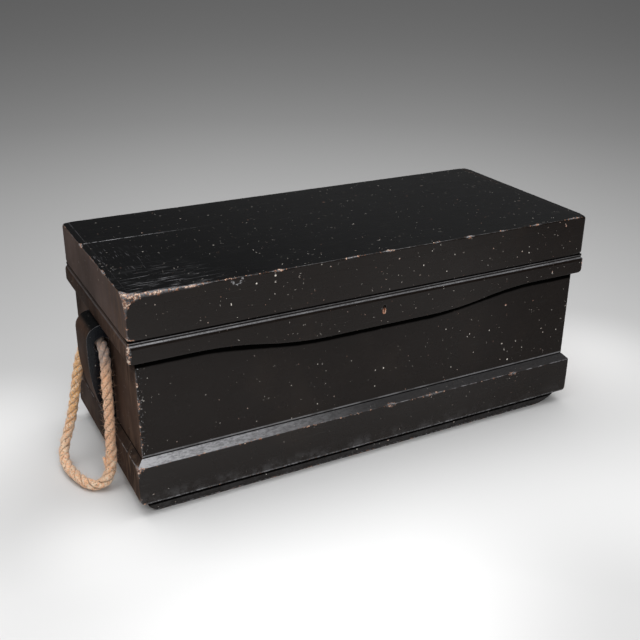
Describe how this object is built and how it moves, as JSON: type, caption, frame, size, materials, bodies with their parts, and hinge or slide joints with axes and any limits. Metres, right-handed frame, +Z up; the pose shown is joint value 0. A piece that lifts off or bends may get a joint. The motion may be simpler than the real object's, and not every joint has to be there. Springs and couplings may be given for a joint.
{
  "type": "tool chest",
  "caption": "Low black painted pine tool chest with a hinged box lid, sliding till, link lock, mitred plinth, scroll-cut band and a rope handle at each end.",
  "frame": {"origin": "on the floor under the middle of the chest", "axes": "+X along the length towards the right end, -Y out of the front with the keyhole, +Z up"},
  "size_m": [1.0898, 0.4107, 0.406],
  "materials": {
    "black_paint": "satin black paint on pine, rubbed through to cream and pink wood along the edges",
    "brown_black_paint": "satin black paint on pine, worn thin and brownish at the ends",
    "bare_pine": "unpainted, aged pine",
    "iron": "dark, slightly rusty iron",
    "brass": "worn, dull brass",
    "hemp_rope": "three-strand laid hemp rope, fuzzy and slightly grey near the block"
  },
  "bodies": {
    "chest": {"front_board": "black_paint", "back_board": "black_paint", "left_end_board": "brown_black_paint", "right_end_board": "brown_black_paint", "bottom_boards": "bare_pine", "front_runner": "black_paint", "back_runner": "black_paint", "front_plinth": "black_paint", "left_plinth": "brown_black_paint", "right_plinth": "brown_black_paint", "front_band": "black_paint", "left_band": "brown_black_paint", "right_band": "brown_black_paint", "left_handle_block": "brown_black_paint", "right_handle_block": "brown_black_paint", "handle_block_screws": "iron", "left_hinge_chest_leaf": "iron", "left_hinge_pin": "iron", "right_hinge_chest_leaf": "iron", "right_hinge_pin": "iron", "hinge_chest_screws": "iron", "lock_case": "iron", "lock_screws": "iron", "keyhole_escutcheon": "brass", "left_till_strip": "bare_pine", "right_till_strip": "bare_pine"},
    "lid": {"lid_front_plank": "black_paint", "lid_back_plank": "black_paint", "lid_front_rim": "black_paint", "lid_back_rim": "black_paint", "lid_left_rim": "brown_black_paint", "lid_right_rim": "brown_black_paint", "left_hinge_lid_leaf": "iron", "right_hinge_lid_leaf": "iron", "hinge_lid_screws": "iron", "lid_link_plate": "iron", "lid_link_screws": "iron"},
    "bolt": {"lock_bolt": "iron"},
    "till": {"till_front": "bare_pine", "till_back": "bare_pine", "till_left_end": "bare_pine", "till_right_end": "bare_pine", "till_bottom": "bare_pine", "till_dividers": "bare_pine"},
    "left_rope": {"left_rope_handle": "hemp_rope"},
    "right_rope": {"right_rope_handle": "hemp_rope"}
  },
  "joints": [
    {"name": "lid_hinge", "type": "hinge", "parent": "chest", "child": "lid", "pos_m": [0, 0.2045, 0.3285], "axis": [-1, 0, 0], "range_deg": [0, 100]},
    {"name": "till_slide", "type": "slide", "parent": "chest", "child": "till", "axis": [0, -1, 0], "range_m": [0, 0.184]},
    {"name": "bolt_slide", "type": "slide", "parent": "chest", "child": "bolt", "axis": [1, 0, 0], "range_m": [0, 0.013]},
    {"name": "left_rope_swing", "type": "hinge", "parent": "chest", "child": "left_rope", "pos_m": [-0.458, 0, 0.2548], "axis": [0, 1, 0], "range_deg": [0, 135]},
    {"name": "right_rope_swing", "type": "hinge", "parent": "chest", "child": "right_rope", "pos_m": [0.458, 0, 0.2548], "axis": [0, -1, 0], "range_deg": [0, 135]}
  ]
}
